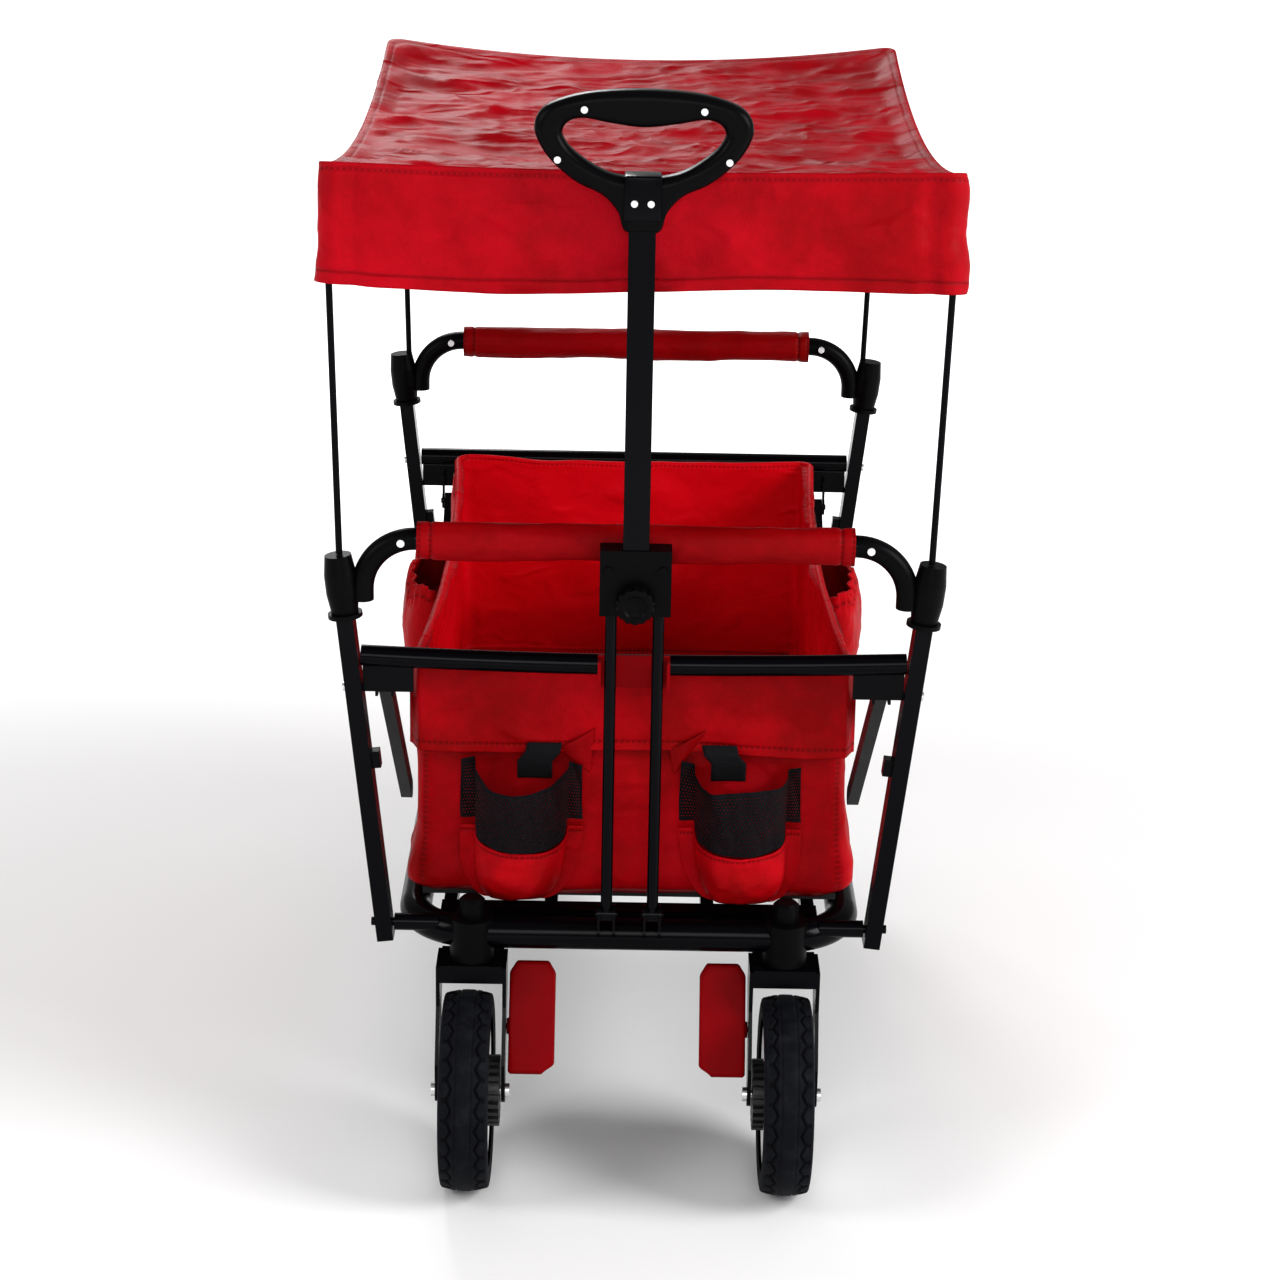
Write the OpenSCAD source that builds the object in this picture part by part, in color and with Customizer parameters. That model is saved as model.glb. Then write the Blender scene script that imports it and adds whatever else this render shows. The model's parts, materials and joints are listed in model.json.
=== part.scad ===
// Folding pull wagon with a canopy. Millimetres, +Z up, the pull handle at -Y.
// The origin is on the ground under the middle of the wagon.

/* [Overall] */
// Half of the distance between the front and the rear post pins
pin_y = 381; // [300:1:460]
// Height of the post pins above the ground
pin_z = 247; // [240:1:300]
// Distance from the pin line up to the top of the knobs, along a post
post_reach = 357; // [320:1:440]
// Height of the canopy's top edge above the ground
canopy_top_z = 954; // [860:1:1100]
// Half width between the inner faces of the posts, at the pins
post_inner_x = 219; // [200:1:260]

/* [Ring and deck] */
// Diameter of the ring tube
ring_d = 30; // [22:1:34]
// Height of the ring's centre line
ring_z = 240; // [236:1:260]
// Gap between the ring's side and the inner face of a post
ring_gap = 3; // [2:0.5:12]
// Distance from the front post plane forward to the ring's centre line
ring_ahead = 4; // [0:1:12]
// Bend radius of the ring's corners
ring_bend = 60; // [45:1:90]
// Height of the square section of the floor rails
rail_h = 15; // [10:1:18]
// Thickness of a floor board
board_t = 6; // [4:1:10]

/* [Tub] */
// Half width of the fabric tub, outside
tub_x = 203; // [150:1:203]
// Distance from the post plane back to the tub's end wall
tub_inset = 36; // [34:1:80]
// Height of the tub walls
tub_h = 240; // [180:1:245]
// Thickness of the padded fabric
fabric_t = 4; // [2:0.5:6]
// Length of a side pocket
pocket_l = 200; // [120:1:220]
// Height of a cup holder
cup_h = 138; // [100:1:170]
// Half width of a cup holder's mesh top
cup_half = 44; // [38:1:48]
// Distance from the middle to a cup holder's centre
cup_x = 101; // [90:1:101]

/* [Push frames] */
// Width of a post's narrow face
post_w = 15; // [12:0.5:20]
// Depth of a post, front to back
post_d = 24; // [20:1:26]
// Outward lean of a post, in degrees
post_lean = 6.16; // [3:0.01:8]
// Height of a knob
knob_h = 54; // [40:1:60]
// Diameter of a knob
knob_d = 29; // [24:1:32]
// Diameter of the grip tube and its elbows
grip_d = 20; // [16:1:24]
// Diameter of the fabric sleeve on a grip
sleeve_d = 31; // [26:1:32]
// Half length of the fabric sleeve
sleeve_half = 194; // [150:1:196]
// Diameter of the front cross bar
bar_d = 19; // [14:1:22]
// Diameter of a canopy rod
rod_d = 6; // [4:0.5:6.5]

/* [Wheels] */
// Diameter of a tyre
wheel_d = 186; // [160:1:190]
// Width of a tyre
tyre_w = 46; // [36:1:47]
// Distance from the middle to a caster's swivel axis
caster_x = 145; // [130:1:150]
// Horizontal distance from a swivel axis to its wheel axle
trail = 32; // [20:1:40]
// Diameter of a wheel axle
axle_d = 8; // [6:0.5:12]
// Diameter of a caster's stem
stem_d = 16; // [12:1:22]

/* [Handle] */
// Distance from the middle to a handle rod
handle_rod_x = 21; // [20:0.5:24]
// Diameter of a handle rod
handle_rod_d = 10.5; // [8:0.5:10.5]
// Width of the telescopic pole
pole_w = 23; // [16:1:23]
// Height of the top of the handle grip
grip_top_z = 1023; // [940:1:1150]

/* [Hidden] */
$fn = 48;

gap = 0.5;
pin_play = 0.05;
tube_wall = 2;
left = -1;
right = 1;
front = -1;
rear = 1;

ring_x = post_inner_x - ring_gap - ring_d / 2;
ring_y = pin_y + ring_ahead;
ring_top = ring_z + ring_d / 2;
rail_top = ring_top + 1;
bar_gap = 3;
box_bar_w = 20;
board_z = rail_top;
deck_z = board_z + board_t;
tub_y = pin_y - tub_inset;
tub_top = board_z + tub_h;

post_x = post_inner_x + post_w / 2;
post_below_pin = 15;
knob_base = post_reach - knob_h;
knob_top_z = pin_z + post_reach * cos(post_lean);
knob_top_x = post_x + post_reach * sin(post_lean);
post_pin_d = 8;

elbow_r = 47;
grip_z = knob_top_z + 16;
elbow_x = sleeve_half + 2;
rod_lean = 1.3;
rod_split = 3.7;
canopy_rod_x = knob_top_x - 5;
canopy_rod_l = canopy_top_z - 8 - knob_top_z;

cross_z = 508;
rear_cross_z = 482;
brace_y = pin_y - 14;
front_pivot_z = 477;
rear_pivot_z = 434;
brace_foot_z = 274;
brace_drop = 39.2;
brace_t = 11;
brace_h = 18;
front_brace_x = 224.5;
rear_brace_x = 209.5;
brace_pin_d = 6;

canopy_x = 277;
canopy_y = pin_y + 8;
canopy_t = 3;
valance_h = 102;

wheel_r = wheel_d / 2;
rim_r = wheel_r - 21;
axle_y = ring_y + trail;
wheel_out = 3;
wheel_x = caster_x + wheel_out;
disc_r = 33;
leg_t = 3.5;
leg_in = 29;
crown_z = 197;
crown_h = 17.5;
crown_d = 44;
housing_d = 41;
housing_z = crown_z + crown_h + gap;
cap_d = 24;
cap_h = 19;

pedal_w = 43;
pedal_t = 9;
pedal_l = 110;
pedal_x = 88.5;
pedal_tilt = 32;
pedal_pivot_y = ring_y + 13;
pedal_pivot_z = 150;
pedal_pin_d = 5;
pedal_boss = 8;

rod_y = ring_y + 27;
hinge_z = 272;
hinge_pin_d = 5;
eye_d = 13;
ear_t = 2.5;
pole_d = 21;
pole_foot_z = 566;
yoke_z = 563;
yoke_h = 60;
yoke_half = 31.5;
yoke_d = 25;
turn_knob_d = 35;
turn_knob_h = 17;
turn_knob_z = 577;
grip_half = 92;
grip_t = 24;
collar_z = grip_top_z - 114;

// Puts its children in a post's own frame: the pin at the origin, the post along +Z.
module at_post(side, end) {
    translate([side * post_x, end * pin_y, pin_z])
        rotate([0, side * post_lean, 0])
            children();
}

module along_x(l, d) {
    translate([-l / 2, 0, 0])
        rotate([0, 90, 0])
            cylinder(d = d, h = l);
}

module along_y(l, d) {
    translate([0, -l / 2, 0])
        rotate([-90, 0, 0])
            cylinder(d = d, h = l);
}

module block(size) {
    translate(-size / 2)
        cube(size);
}

// ---------- ring and deck ----------

module ring_straight(end) {
    translate([0, end * ring_y, ring_z])
        along_x(2 * (ring_x - ring_bend), ring_d);
}

module ring_corner(side, end) {
    translate([side * (ring_x - ring_bend), end * (ring_y - ring_bend), ring_z])
        mirror([side < 0 ? 1 : 0, 0, 0])
            mirror([0, end < 0 ? 1 : 0, 0])
                rotate_extrude(angle = 90)
                    translate([ring_bend, 0])
                        circle(d = ring_d);
}

module ring_bow(end) {
    color("#151518")
        difference() {
            union() {
                ring_straight(end);
                for (side = [left, right]) {
                    ring_corner(side, end);
                    post_pin(side, end);
                }
            }
            for (side = [left, right])
                housing_hole(side, end);
        }
}

module ring_side_rails() {
    color("#151518")
        for (side = [left, right])
            translate([side * ring_x, 0, ring_z])
                difference() {
                    along_y(2 * (ring_y - ring_bend), ring_d);
                    along_y(2 * (ring_y - ring_bend) + 2, ring_d - 2 * tube_wall);
                }
}

module housing_hole(side, end) {
    translate([side * caster_x, end * ring_y, ring_z - ring_d])
        cylinder(d = housing_d, h = 2 * ring_d);
}

// The pin that carries a post, with its boss on the ring's corner.
module post_pin(side, end) {
    from = ring_x - ring_bend + 35;
    to = post_x + post_w / 2 + 4.5;
    boss_to = post_inner_x - 2;
    translate([side * (from + to) / 2, end * pin_y, pin_z])
        along_x(to - from, post_pin_d);
    translate([side * (from + boss_to) / 2, end * pin_y, pin_z])
        along_x(boss_to - from, 2 * post_pin_d);
}

// Square bars behind the ring's front and rear tubes, shaped to the ring's corners at their ends.
module box_bars() {
    bar_h = 22;
    half = ring_x - 26;
    color("#121214")
        difference() {
            for (end = [front, rear])
                translate([0, end * (ring_y - ring_d / 2 - bar_gap - box_bar_w / 2), ring_top - bar_h / 2])
                    block([2 * half, box_bar_w, bar_h]);
            for (end = [front, rear])
                for (side = [left, right]) {
                    ring_corner(side, end);
                    housing_hole(side, end);
                }
        }
}

module floor_rails() {
    reach = ring_y - ring_d / 2 - bar_gap - box_bar_w;
    rail_w = 12;
    color("#151518")
        for (x = [-167, -73, 73, 167])
            translate([x, 0, rail_top - rail_h / 2])
                difference() {
                    block([rail_w, 2 * reach, rail_h]);
                    block([rail_w - 2 * tube_wall, 2 * reach + 2, rail_h - 2 * tube_wall]);
                }
}

module floor_boards() {
    half = tub_y - fabric_t - 6;
    color("#1d1d20")
        for (end = [front, rear])
            translate([0, end * (half / 2 + 2), board_z + board_t / 2])
                block([2 * (tub_x - fabric_t - 5), half - 4, board_t]);
}

// ---------- fabric tub ----------

module tub_floor() {
    color("#c8101c")
        translate([0, 0, deck_z + fabric_t / 4])
            block([2 * (tub_x - fabric_t - 1), 2 * (tub_y - fabric_t - 1), fabric_t / 2]);
}

module tub_walls() {
    mid_z = board_z + tub_h / 2;
    color("#d01421") {
        for (side = [left, right])
            translate([side * (tub_x - fabric_t / 2), 0, mid_z])
                block([fabric_t, 2 * (tub_y - fabric_t), tub_h]);
        for (end = [front, rear])
            translate([0, end * (tub_y - fabric_t / 2), mid_z])
                block([2 * tub_x, fabric_t, tub_h]);
    }
}

module side_pockets() {
    pocket_t = 20;
    pocket_h = 105;
    color("#c8101c")
        for (side = [left, right])
            translate([side * (tub_x + gap + pocket_t / 2), 0, tub_top - 18 - pocket_h / 2])
                difference() {
                    block([pocket_t, pocket_l, pocket_h]);
                    translate([0, 0, 3])
                        block([pocket_t - 5, pocket_l - 5, pocket_h]);
                }
}

module cup_outline(half, shrink = 0) {
    depth = 56;
    for (s = [left, right])
        translate([s * (half - depth / 2), 0])
            circle(d = depth - 2 * shrink);
    translate([-(half - depth / 2), -(depth / 2 - shrink)])
        square([2 * half - depth, depth - 2 * shrink]);
}

module cup_holder(side) {
    wall = 2;
    pouch_half = 32;
    pouch_h = 60;
    cup_z = ring_top + 8;
    depth = 56;
    color("#1a1a1c")
        translate([side * cup_x, -(tub_y + gap + depth / 2), cup_z])
            difference() {
                union() {
                    linear_extrude(pouch_h)
                        cup_outline(pouch_half);
                    translate([0, 0, pouch_h])
                        linear_extrude(cup_h - pouch_h)
                            cup_outline(cup_half);
                }
                translate([0, 0, wall])
                    linear_extrude(cup_h)
                        cup_outline(pouch_half - wall, wall);
                translate([0, 0, pouch_h + wall])
                    linear_extrude(cup_h)
                        cup_outline(cup_half, wall);
            }
}

// ---------- casters and wheels ----------

module caster_housings() {
    color("#0e0e10")
        for (side = [left, right])
            translate([side * caster_x, -ring_y, housing_z])
                difference() {
                    cylinder(d = housing_d, h = ring_top + 1 - housing_z);
                    translate([0, 0, -1])
                        cylinder(d = stem_d + 2 * pin_play, h = ring_top + 3 - housing_z);
                }
}

module stem_caps() {
    color("#1b1b1e")
        for (side = [left, right])
            translate([side * caster_x, -ring_y, ring_top + 1]) {
                cylinder(d = cap_d, h = cap_h - 3);
                translate([0, 0, cap_h - 3])
                    cylinder(d1 = cap_d, d2 = cap_d - 6, h = 3);
            }
}

// One leg of a fork, in its side view: y forward to the axle, z up.
module fork_leg() {
    half = crown_d / 2;
    eye = 11;
    rotate([90, 0, 90])
        linear_extrude(leg_t) {
            polygon([
                [-half, crown_z + crown_h - 2], [half, crown_z + crown_h - 2],
                [half, crown_z - 12], [-trail + eye, wheel_r + 14], [-trail + eye, wheel_r],
                [-trail - eye, wheel_r], [-trail - eye, wheel_r + 30], [-half, crown_z - 24]
            ]);
            translate([-trail, wheel_r])
                circle(r = eye);
        }
}

// A fork about its own vertical axis, with its wheel axle at y = -trail.
module fork_body() {
    difference() {
        union() {
            translate([0, 0, crown_z + crown_h / 2])
                block([2 * leg_in, crown_d, crown_h]);
            for (side = [left, right])
                translate([side < 0 ? -leg_in - leg_t : leg_in, 0, 0])
                    fork_leg();
        }
        translate([0, -trail, wheel_r])
            along_x(100, axle_d);
    }
}

module caster_fork(side) {
    color("#111113")
        translate([side * caster_x, -ring_y, 0]) {
            fork_body();
            translate([0, 0, crown_z + crown_h])
                cylinder(d = stem_d, h = ring_top - 1 - crown_z - crown_h);
            translate([-side * (leg_in + leg_t + pedal_boss / 2), ring_y - pedal_pivot_y, pedal_pivot_z])
                along_x(pedal_boss, pedal_pin_d - 2 * pin_play);
        }
}

module axle_bolt(side, end) {
    reach = leg_in + leg_t;
    translate([side * caster_x, end * axle_y, wheel_r]) {
        along_x(2 * reach, axle_d);
        for (s = [left, right])
            translate([s * (reach + 2), 0, 0])
                along_x(4, axle_d + 5);
    }
}

module caster_axle(side) {
    color("silver")
        axle_bolt(side, front);
}

module rear_axles() {
    color("silver")
        for (side = [left, right])
            axle_bolt(side, rear);
}

module rear_wheel_forks() {
    color("#111113")
        for (side = [left, right])
            translate([side * caster_x, ring_y, 0])
                mirror([0, 1, 0]) {
                    fork_body();
                    translate([0, 0, crown_z + crown_h])
                        cylinder(d = housing_d, h = ring_top + 1 - crown_z - crown_h);
                }
}

module tyre(side, end) {
    crown = 8;
    half = tyre_w / 2;
    color("#202023")
        translate([side * wheel_x, end * axle_y, wheel_r])
            rotate([0, 90, 0])
                rotate_extrude($fn = 96)
                    polygon(concat(
                        [[rim_r, -half + 4], [rim_r, half - 4], [rim_r + 3, half - 1]],
                        [for (a = [0 : 15 : 90]) [wheel_r - crown + crown * sin(a) * 0.75, half - crown + crown * cos(a)]],
                        [[wheel_r, 0]],
                        [for (a = [90 : -15 : 0]) [wheel_r - crown + crown * sin(a) * 0.75, -half + crown - crown * cos(a)]],
                        [[rim_r + 3, -half + 1]]
                    ));
}

// A dished wheel disc with its hub, and the toothed brake disc on a front wheel's inboard side.
module rim(side, end) {
    hub_r = 17;
    rim_t = 6;
    dish = 4;
    half = tyre_w / 2 - 4;
    disc_in = leg_in + wheel_out - gap - 1;
    color("#d8d8da")
        translate([side * wheel_x, end * axle_y, wheel_r])
            mirror([side > 0 ? 1 : 0, 0, 0]) {
                rotate([0, 90, 0])
                    rotate_extrude($fn = 96)
                        polygon([
                            [axle_d / 2 + pin_play, -half - 2], [hub_r, -half - 2], [hub_r, -half + dish],
                            [rim_r - rim_t, -half + dish], [rim_r - rim_t, -half], [rim_r, -half],
                            [rim_r, half], [rim_r - rim_t, half], [rim_r - rim_t, half - dish],
                            [hub_r, half - dish], [hub_r, half + 2], [axle_d / 2 + pin_play, half + 2]
                        ]);
                if (end < 0)
                    translate([half + 1, 0, 0])
                        brake_disc(disc_in - half - 1);
            }
}

module brake_disc(t) {
    teeth = 24;
    rotate([0, 90, 0])
        linear_extrude(t)
            difference() {
                union() {
                    circle(r = disc_r - 5);
                    for (k = [0 : teeth - 1])
                        rotate(k * 360 / teeth)
                            translate([disc_r - 8, -2])
                                square([8, 4]);
                }
                circle(r = axle_d / 2 + pin_play);
            }
}

// A foot pedal on a short boss, which turns on a pin of the fork.
module brake_pedal(side) {
    boss_x = caster_x - leg_in - leg_t - gap - pedal_boss / 2;
    color("#b80d18")
        translate([0, -pedal_pivot_y, pedal_pivot_z])
            difference() {
                union() {
                    translate([side * pedal_x, 0, 5])
                        rotate([-pedal_tilt, 0, 0])
                            translate([0, -3, 0])
                                pedal_plate(side);
                    translate([side * boss_x, 0, 0])
                        along_x(pedal_boss, 16);
                }
                translate([side * boss_x, 0, 0])
                    along_x(pedal_boss + 2, pedal_pin_d);
            }
}

module pedal_plate(side) {
    block([pedal_w, pedal_t, pedal_l - 20]);
    translate([0, 0, pedal_l / 2 - 10])
        rotate([90, 0, 0])
            linear_extrude(pedal_t, center = true)
                polygon([[-pedal_w / 2, 0], [pedal_w / 2, 0],
                         [pedal_w / 2 - 6, 12], [-pedal_w / 2 + 6, 12]]);
    translate([side * 7, 0, -pedal_l / 2 + 5])
        block([pedal_w - 14, pedal_t, 12]);
}

// ---------- push frames ----------

module posts(end) {
    color("#131316")
        for (side = [left, right])
            difference() {
                at_post(side, end)
                    difference() {
                        translate([0, 0, (knob_base - post_below_pin) / 2])
                            block([post_w, post_d, knob_base + post_below_pin]);
                        translate([0, 0, knob_base / 2 + 10])
                            block([post_w - 2 * tube_wall, post_d - 2 * tube_wall, knob_base - 30]);
                    }
                translate([side * post_x, end * pin_y, pin_z])
                    along_x(3 * post_w, post_pin_d + 2 * pin_play);
            }
}

module knobs(end) {
    waist = knob_d - 5;
    color("#0d0d0f")
        for (side = [left, right])
            at_post(side, end)
                difference() {
                    translate([0, 0, knob_base])
                        union() {
                            translate([0, 0, -4])
                                cylinder(d = knob_d + 2, h = 4);
                            cylinder(d1 = waist, d2 = knob_d, h = knob_h / 3);
                            translate([0, 0, knob_h / 3])
                                cylinder(d = knob_d, h = knob_h / 3);
                            translate([0, 0, 2 * knob_h / 3])
                                cylinder(d1 = knob_d, d2 = waist, h = knob_h / 3);
                        }
                    translate([0, 0, knob_base / 2])
                        block([post_w, post_d, knob_base]);
                }
}

module elbows(end) {
    color("#0f0f11")
        for (side = [left, right])
            translate([side * elbow_x, end * pin_y, grip_z - elbow_r])
                mirror([side < 0 ? 1 : 0, 0, 0])
                    rotate([90, 0, 0]) {
                        rotate_extrude(angle = 90)
                            translate([elbow_r, 0])
                                circle(d = grip_d);
                        translate([elbow_r, 0, 0])
                            rotate([90, 0, 0])
                                cylinder(d = grip_d, h = 10);
                    }
}

module grip_bar(end) {
    color("#0f0f11")
        translate([0, end * pin_y, grip_z])
            along_x(2 * elbow_x, grip_d);
}

module grip_sleeve(end) {
    color("#d01421")
        translate([0, end * pin_y, grip_z])
            difference() {
                along_x(2 * sleeve_half, sleeve_d);
                along_x(2 * sleeve_half + 2, grip_d);
            }
}

module canopy_rods(end) {
    color("#0b0b0c")
        for (side = [left, right])
            translate([side * (canopy_rod_x - end * rod_split), end * pin_y, knob_top_z + 1])
                rotate([0, side * rod_lean, 0])
                    cylinder(d = rod_d, h = canopy_rod_l);
}

module rivets(end) {
    color("silver")
        for (side = [left, right]) {
            translate([side * (elbow_x + 12), end * pin_y - grip_d / 2 - 1, grip_z - 1])
                along_y(4, 7);
            at_post(side, end)
                translate([side * (post_w / 2 + 1.5), 0, knob_base - 70])
                    along_x(3, 8);
        }
}

// A bar that bows down slightly to its middle.
module front_cross_bar() {
    half = post_inner_x + (cross_z - pin_z) * tan(post_lean) - 2;
    dip = 5;
    bow_r = (half * half + dip * dip) / (2 * dip);
    spread = 2 * asin(half / bow_r);
    color("#131316")
        translate([0, -pin_y, cross_z - dip + bow_r])
            rotate([90, 0, 0])
                rotate([0, 0, -90 - spread / 2])
                    rotate_extrude(angle = spread, $fn = 2400)
                        translate([bow_r, 0])
                            circle(d = bar_d, $fn = 48);
}

module rear_cross_bar() {
    half = post_inner_x + (rear_cross_z - pin_z) * tan(post_lean) - 2;
    color("#131316")
        translate([0, pin_y, rear_cross_z])
            along_x(2 * half, bar_d);
}

// A plate under the cross bar, two ears that carry a brace on a pin, and a lug lower on the post.
module brackets(end, bar_z, brace_x, pivot_z) {
    plate_t = 4;
    plate_h = 24;
    ear = 2.5;
    plate_z = bar_z - bar_d / 2 - gap - plate_h / 2;
    plate_in = 198;
    plate_out = post_inner_x + (plate_z - pin_z) * tan(post_lean) - 1;
    ear_low = pivot_z - brace_h / 2;
    ear_high = plate_z + 4;
    color("#0f0f11")
        for (side = [left, right]) {
            translate([side * (plate_out + plate_in) / 2, end * pin_y, plate_z])
                block([plate_out - plate_in, plate_t, plate_h]);
            for (s = [left, right])
                difference() {
                    union() {
                        translate([side * brace_x + s * ((brace_t + ear) / 2 + gap), end * brace_y, pivot_z])
                            along_x(ear, brace_h);
                        translate([side * brace_x + s * ((brace_t + ear) / 2 + gap),
                                   end * (brace_y + pin_y - plate_t / 2) / 2, (ear_low + ear_high) / 2])
                            block([ear, pin_y - plate_t / 2 - brace_y, ear_high - ear_low]);
                    }
                    translate([side * brace_x, end * brace_y, pivot_z])
                        along_x(40, brace_pin_d);
                }
            translate([side * brace_x, end * brace_y, pivot_z])
                along_x(brace_t + 2 * (gap + ear) + 3, brace_pin_d);
            at_post(side, end)
                translate([-side * (post_w / 2 + 4), 0, 162])
                    block([8, 12, 16]);
        }
}

// A brace from its pin down towards the side rail.
module braces(end, brace_x, pivot_z) {
    length = (pivot_z - brace_foot_z) / sin(brace_drop);
    color("#1a1a1d")
        for (side = [left, right])
            translate([side * brace_x, end * brace_y, pivot_z])
                mirror([0, end > 0 ? 1 : 0, 0])
                    rotate([-brace_drop, 0, 0])
                        difference() {
                            union() {
                                along_x(brace_t, brace_h);
                                translate([0, length / 2, 0])
                                    block([brace_t, length, brace_h]);
                                translate([0, length, 0])
                                    along_x(brace_t, brace_h);
                            }
                            along_x(30, brace_pin_d + 2 * pin_play);
                        }
}

// A moulded clip on the cross bar that holds the handle's rods when the handle is upright.
module rod_clip() {
    back_t = 3;
    back_y = rod_y - pole_d / 2 - 1 - back_t / 2;
    bar_y = pin_y + bar_d / 2 - 1;
    reach = handle_rod_x + handle_rod_d / 2 + 1;
    clip_z = cross_z - 5;
    color("#c8101c")
        translate([0, 0, clip_z]) {
            translate([0, -back_y, 0])
                block([2 * reach + 10, back_t, 30]);
            for (side = [left, right]) {
                translate([side * (reach + 3.5), -back_y - 8, 0])
                    block([3, 16, 26]);
                translate([side * (reach - 10), -(back_y + bar_y) / 2, 0])
                    block([10, back_y - bar_y, 10]);
            }
        }
}

// ---------- canopy ----------

module canopy_top() {
    color("#d01421")
        translate([0, 0, canopy_top_z - canopy_t / 2])
            block([2 * canopy_x, 2 * canopy_y, canopy_t]);
}

module canopy_valances() {
    skin = 1.5;
    mid_z = canopy_top_z - canopy_t - valance_h / 2;
    color("#c8101c") {
        for (side = [left, right])
            translate([side * (canopy_x - skin / 2), 0, mid_z])
                block([skin, 2 * (canopy_y - skin), valance_h]);
        for (end = [front, rear])
            translate([0, end * (canopy_y - skin / 2), mid_z])
                block([2 * canopy_x, skin, valance_h]);
    }
}

// ---------- pull handle ----------

module handle_hinges() {
    ear_x = handle_rod_x;
    apart = handle_rod_d / 2 + gap + ear_t / 2;
    color("#0f0f11")
        difference() {
            union() {
                for (side = [left, right])
                    for (s = [left, right])
                        translate([side * ear_x + s * apart - ear_t / 2, 0, 0])
                            rotate([90, 0, 90])
                                linear_extrude(ear_t) {
                                    translate([-rod_y, hinge_z])
                                        circle(d = 18);
                                    polygon([[-rod_y - 9, hinge_z], [-rod_y + 9, hinge_z + 2],
                                             [-ring_y + 6, ring_z + 6], [-ring_y - 4, ring_z - 6],
                                             [-rod_y - 4, hinge_z - 16]]);
                                }
                for (side = [left, right])
                    translate([side * ear_x, -rod_y, hinge_z])
                        along_x(handle_rod_d + 2 * (gap + ear_t) + 4, hinge_pin_d);
            }
            ring_straight(front);
        }
}

module handle_rods() {
    top = yoke_z + 40;
    color("#101012")
        for (side = [left, right])
            translate([side * handle_rod_x, -rod_y, 0])
                difference() {
                    union() {
                        translate([0, 0, hinge_z])
                            cylinder(d = handle_rod_d, h = top - hinge_z);
                        translate([0, 0, hinge_z])
                            along_x(handle_rod_d, eye_d);
                    }
                    translate([0, 0, hinge_z])
                        along_x(60, hinge_pin_d + 2 * pin_play);
                }
}

module yoke_plate() {
    rivet_z = yoke_h - 18;
    color("#0f0f11")
        difference() {
            union() {
                translate([0, -rod_y, yoke_z + yoke_h / 2])
                    block([2 * yoke_half, yoke_d, yoke_h]);
                for (side = [left, right])
                    translate([side * 24, -rod_y - yoke_d / 2 - 1, yoke_z + rivet_z])
                        along_y(2, 8);
            }
            translate([0, -rod_y, yoke_z + yoke_h / 2])
                block([pole_w + 2 * gap, pole_d + 2 * gap, yoke_h + 2]);
            for (side = [left, right])
                translate([side * handle_rod_x, -rod_y, yoke_z - 1])
                    cylinder(d = handle_rod_d, h = 41);
        }
}

module handle_pole() {
    wall = 2;
    l = collar_z - pole_foot_z;
    color("#0d0d0f")
        translate([0, -rod_y, pole_foot_z + l / 2])
            difference() {
                block([pole_w, pole_d, l]);
                block([pole_w - 2 * wall, pole_d - 2 * wall, l + 2]);
            }
}

module handle_grip() {
    mid = grip_top_z - 47;
    neck_z = collar_z + 16;
    color("#0b0b0c") {
        translate([0, -rod_y, 0])
            rotate([90, 0, 0])
                linear_extrude(grip_t, center = true)
                    difference() {
                        hull() {
                            for (side = [left, right]) {
                                translate([side * (grip_half - 26), mid + 14])
                                    circle(r = 26);
                                translate([side * 14, neck_z])
                                    circle(r = 8);
                            }
                            translate([0, grip_top_z - 50])
                                circle(r = 50);
                        }
                        hull() {
                            for (side = [left, right]) {
                                translate([side * (grip_half - 32), mid + 10])
                                    circle(r = 14);
                                translate([side * 24, mid - 14])
                                    circle(r = 8);
                            }
                        }
                    }
        translate([0, -rod_y, collar_z + 12])
            block([pole_w + 6, grip_t + 4, 24]);
    }
}

module grip_screws() {
    color("silver")
        for (side = [left, right])
            for (at = [[side * 50, grip_top_z - 16], [side * 72, grip_top_z - 58], [side * 7, collar_z + 20]])
                translate([at[0], -rod_y - grip_t / 2 - 3, at[1]])
                    along_y(2, 6);
}

module handle_knob() {
    ribs = 12;
    color("#141416")
        translate([0, -rod_y - yoke_d / 2 - gap, turn_knob_z])
            rotate([90, 0, 0]) {
                cylinder(d = turn_knob_d - 3, h = turn_knob_h);
                for (k = [0 : ribs - 1])
                    rotate(k * 360 / ribs)
                        translate([turn_knob_d / 2 - 2.5, -2, 1])
                            cube([2.5, 4, turn_knob_h - 2]);
            }
}

ring_bow(front);  // ring_front_bow
ring_bow(rear);  // ring_rear_bow
ring_side_rails();
box_bars();
floor_rails();
floor_boards();
tub_floor();
tub_walls();
side_pockets();
cup_holder(left);  // cup_holder_left
cup_holder(right);  // cup_holder_right
caster_housings();
stem_caps();
rear_wheel_forks();
rear_axles();
handle_hinges();
posts(front);  // front_posts
front_cross_bar();
brackets(front, cross_z, front_brace_x, front_pivot_z);  // front_brackets
grip_bar(front);  // front_grip_bar
grip_sleeve(front);  // front_grip_sleeve
elbows(front);  // front_elbows
knobs(front);  // front_knobs
canopy_rods(front);  // front_canopy_rods
rivets(front);  // front_rivets
rod_clip();
posts(rear);  // rear_posts
rear_cross_bar();
brackets(rear, rear_cross_z, rear_brace_x, rear_pivot_z);  // rear_brackets
grip_bar(rear);  // rear_grip_bar
grip_sleeve(rear);  // rear_grip_sleeve
elbows(rear);  // rear_elbows
knobs(rear);  // rear_knobs
canopy_rods(rear);  // rear_canopy_rods
rivets(rear);  // rear_rivets
braces(front, front_brace_x, front_pivot_z);  // front_braces
braces(rear, rear_brace_x, rear_pivot_z);  // rear_braces
canopy_top();
canopy_valances();
handle_rods();
yoke_plate();
handle_pole();
handle_grip();
grip_screws();
handle_knob();
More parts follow.
